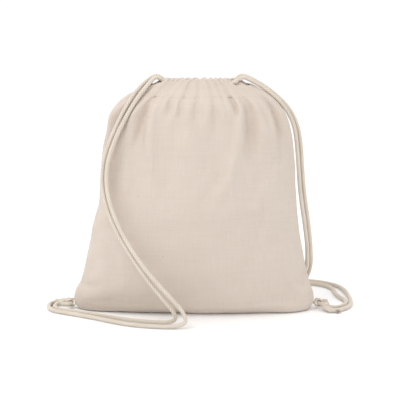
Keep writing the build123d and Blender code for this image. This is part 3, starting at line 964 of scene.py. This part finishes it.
# tape loops, their tacks, and the knots
def tape_loop(side):
    """A folded tape sewn into the corner: closed round its hole, with two flat tails."""
    outline_points = []
    half = LOOP_HALF - 0.0008
    corner = 0.0030
    for quarter, (sx, sz) in enumerate(((1, 1), (-1, 1), (-1, -1), (1, -1))):
        for step in range(7):
            turn = math.radians(90 * quarter + 90 * step / 6)
            outline_points.append((sx * (half - corner) + corner * math.cos(turn),
                                   sz * (half - corner) + corner * math.sin(turn)))
    outline_points.append(outline_points[0])
    ring, at = spaced([(x, 0, z) for x, z in outline_points], 0.00055)
    ring = ring[:-1]
    normals = np.cross(np.gradient(np.vstack([ring, ring[:1]]), axis=0)[:-1], (0, 1, 0))
    normals /= np.linalg.norm(normals, axis=1)[:, None]
    across = np.linspace(-0.0039, 0.0039, 15)
    vertices, lays = [], []
    for layer in (1, -1):
        for y in across:
            edge = 1 - (abs(y) / 0.0041) ** 6
            rib = 0.00010 * np.cos(2 * math.pi * y / 0.0011)
            offset = layer * (0.00062 * edge + 0.00008) + layer * rib * edge
            for k, point in enumerate(ring):
                wobble = 0.0004 * math.sin(k * 0.45 + layer)
                vertices.append((side * (LOOP_X + point[0]) + side * normals[k, 0] * offset,
                                 y + wobble * 0.3, LOOP_Z + point[2] + normals[k, 2] * offset))
                # the lay's third value puts painted shade along the tape's rounded edges
                lays.append((y + layer * 0.01, k * 0.00055, 0.55 + 0.45 * edge))
    count = len(ring)
    outer = grid_faces(15, count, closed=True)
    inner = [face[::-1] for face in grid_faces(15, count, closed=True, start=15 * count)]
    faces = outer + inner
    for row_outer, row_inner, flip in ((0, 15, False), (14, 29, True)):
        for k in range(count):
            following = (k + 1) % count
            quad = (row_outer * count + k, row_inner * count + k,
                    row_inner * count + following, row_outer * count + following)
            faces.append(quad[::-1] if flip else quad)
    if side < 0:
        faces = [face[::-1] for face in faces]
    return np.array(vertices), faces, np.array(lays)


def sewn_tail(side):
    """The two flat ends of the tape, where they run into the corner's seam."""
    rows, count = 9, 15
    vertices, lays = [], []
    for layer in (1, -1):
        for step in range(rows):
            x = side * (0.1768 + 0.0032 * step / (rows - 1))
            for k in range(count):
                y = -0.0038 + 0.0076 * k / (count - 1)
                edge = 1 - (abs(y) / 0.0041) ** 6
                z = LOOP_Z + layer * (0.0006 + 0.0012 * edge + 0.0016 * (step / rows) ** 2)
                vertices.append((x, y, z))
                # the lay's third value puts painted shade along the tape's rounded edges
                lays.append((y + 0.02 * layer, x, 0.55 + 0.45 * edge))
    faces = grid_faces(rows, count)
    faces += [face[::-1] for face in grid_faces(rows, count, start=rows * count)]
    below = rows * count
    rim = ([(0, k) for k in range(count)] + [(j, count - 1) for j in range(1, rows)]
           + [(rows - 1, k) for k in range(count - 2, -1, -1)]
           + [(j, 0) for j in range(rows - 2, 0, -1)])
    for one, two in zip(rim, rim[1:] + rim[:1]):
        a, b = one[0] * count + one[1], two[0] * count + two[1]
        faces.append((a, b, below + b, below + a))
    return np.array(vertices), faces, np.array(lays)


for side, word in ((-1, "left"), (1, "right")):
    vertices, faces, lay = joined([tape_loop(side), sewn_tail(side)])
    add_piece(f"{word}_corner_tape", vertices, faces, "bag", [f"{word}_corner_loop"],
              TAPE_COTTON, [("lay", lay)])
    shapes = []
    top = LOOP_Z + LOOP_HALF + 0.0003
    for step in range(6):
        x = side * (LOOP_X - 0.0036 + 0.0011 * step)
        path = [(x, y, top + 0.0002 - 12 * y * y) for y in np.linspace(-0.0034, 0.0034, 7)]
        shapes.append(plain_tube(path, 0.00030))
    vertices, faces, lay = joined(shapes)
    add_piece(f"{word}_loop_tack_thread", vertices, faces, "bag", [f"{word}_loop_tack"],
              THREAD_COTTON, [("lay", lay)])


def frayed_end(tip, direction, count=26, length=0.009):
    """Loose fibres where a cord was cut."""
    direction = np.asarray(direction, float) / np.linalg.norm(direction)
    side_one = np.cross(direction, (0.0, 0.0, 1.0))
    side_one /= np.linalg.norm(side_one)
    side_two = np.cross(direction, side_one)
    shapes = []
    for number in range(count):
        turn = rng.uniform(0, 2 * math.pi)
        out = 0.0021 * math.sqrt(rng.uniform(0, 1))
        root = tip + out * (math.cos(turn) * side_one + math.sin(turn) * side_two)
        flare = rng.uniform(0.2, 0.5) * (root - tip) / 0.0021
        far = length * rng.uniform(0.6, 1.0)
        path = [root + direction * far * t + flare * far * t * t
                + np.array((0, 0, -0.0012)) * t * t for t in np.linspace(0, 1, 6)]
        path = [(x, y, max(z, 0.0003)) for x, y, z in path]
        shapes.append(plain_tube(path, 0.00026, around=5, step=0.0015))
    return shapes


for side, word in ((-1, "left"), (1, "right")):
    middle = np.array((side * KNOT[0], -side * KNOT[1], KNOT[2]))
    path = []
    for t in np.linspace(0, 2 * math.pi, 181):
        path.append(middle + 0.00150 * np.array((
            math.sin(t) + 2 * math.sin(2 * t), math.cos(t) - 2 * math.cos(2 * t),
            -1.5 * math.sin(3 * t))))
    shapes = [braided_tube(path, KNOT_CORD, around=24)]
    bight = [(side * (LOOP_X + RING_RADIUS - RING_RADIUS * math.cos(t)),
              -side * RING_RADIUS * math.sin(t), LOOP_Z)
             for t in np.linspace(-0.72 * math.pi, 0.72 * math.pi, 90)]
    shapes.append(braided_tube(bight, BIGHT_CORD))
    for lean_out, reach in ((0.35, 0.020), (-0.55, 0.017)):
        direction = np.array((side * math.cos(lean_out), -side * math.sin(lean_out) - side * 0.5,
                              0.0))
        direction /= np.linalg.norm(direction)
        start = middle + direction * 0.003 + np.array((0, 0, -0.001))
        mid = middle + direction * 0.011 + np.array((0, 0, -0.0035))
        tip = middle + direction * reach + np.array((0, 0, -0.0044))
        tail = spline_line(f"{word}_tail", [tuple(start), tuple(mid), tuple(tip)])
        shapes.append(braided_tube(tail, TAIL_CORD, around=24))
        shapes += frayed_end(tip, direction)
    vertices, faces, lay = joined(shapes)
    add_piece(f"{word}_knot_cord", vertices, faces, "bag", [f"{word}_cord_knot"],
              CORD_COTTON, [("lay", lay)])


# floor, light and camera
def studio_floor():
    """A plain pale floor."""
    count = 25
    vertices = [(x, y, -0.0004) for y in np.linspace(-8, 8, count)
                for x in np.linspace(-8, 8, count)]
    mesh = bpy.data.meshes.new("floor")
    mesh.from_pydata(vertices, [], grid_faces(count, count))
    mesh.polygons.foreach_set("use_smooth", [True] * len(mesh.polygons))
    material = bpy.data.materials.new("floor")
    material.use_nodes = True
    nodes, links = material.node_tree.nodes, material.node_tree.links
    shader = nodes["Principled BSDF"]
    place = node(nodes, "ShaderNodeTexCoord").outputs["Object"]
    tone = noise(nodes, links, place, 3.0)
    colour = ramp(nodes, links, tone, [(0.3, (0.965, 0.965, 0.965)), (0.7, (0.97, 0.97, 0.97))])
    links.new(colour, shader.inputs["Base Color"])
    shader.inputs["Roughness"].default_value = 0.9
    mesh.materials.append(material)
    floor = bpy.data.objects.new("floor", mesh)
    scene.collection.objects.link(floor)
    floor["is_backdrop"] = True


def soft_light(name, place, aim, size, power, colour=(1, 1, 1)):
    """A large soft lamp."""
    data = bpy.data.lights.new(name, "AREA")
    data.energy, data.size, data.color = power, size, colour
    lamp = bpy.data.objects.new(name, data)
    lamp.location = place
    lamp.rotation_mode = "QUATERNION"
    lamp.rotation_quaternion = (Vector(place) - Vector(aim)).to_track_quat("Z", "Y")
    scene.collection.objects.link(lamp)


studio_floor()
world = bpy.data.worlds.new("studio")
scene.world = world
world.use_nodes = True
background = world.node_tree.nodes["Background"]
background.inputs[0].default_value = (1.0, 1.0, 1.0, 1)
background.inputs[1].default_value = 1.06
soft_light("key", (-0.75, -0.55, 1.75), (0, 0, 0.25), 0.7, 9)
soft_light("fill", (1.3, -1.2, 0.9), (0, 0, 0.2), 1.2, 1)
soft_light("back", (0.2, 1.5, 1.6), (0, 0, 0.2), 1.4, 2)
scene.view_settings.view_transform = "Standard"

AIM = Vector((0.00735, 0, 0.165))
RISE = math.radians(11.5)
camera_data = bpy.data.cameras.new("camera")
camera_data.lens = 97.96
camera_data.sensor_width = 36
camera = bpy.data.objects.new("camera", camera_data)
back = Vector((0, -math.cos(RISE), math.sin(RISE)))
camera.location = AIM + back * 1.6
camera.rotation_mode = "QUATERNION"
camera.rotation_quaternion = back.to_track_quat("Z", "Y")
scene.collection.objects.link(camera)
scene.camera = camera

low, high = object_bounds()
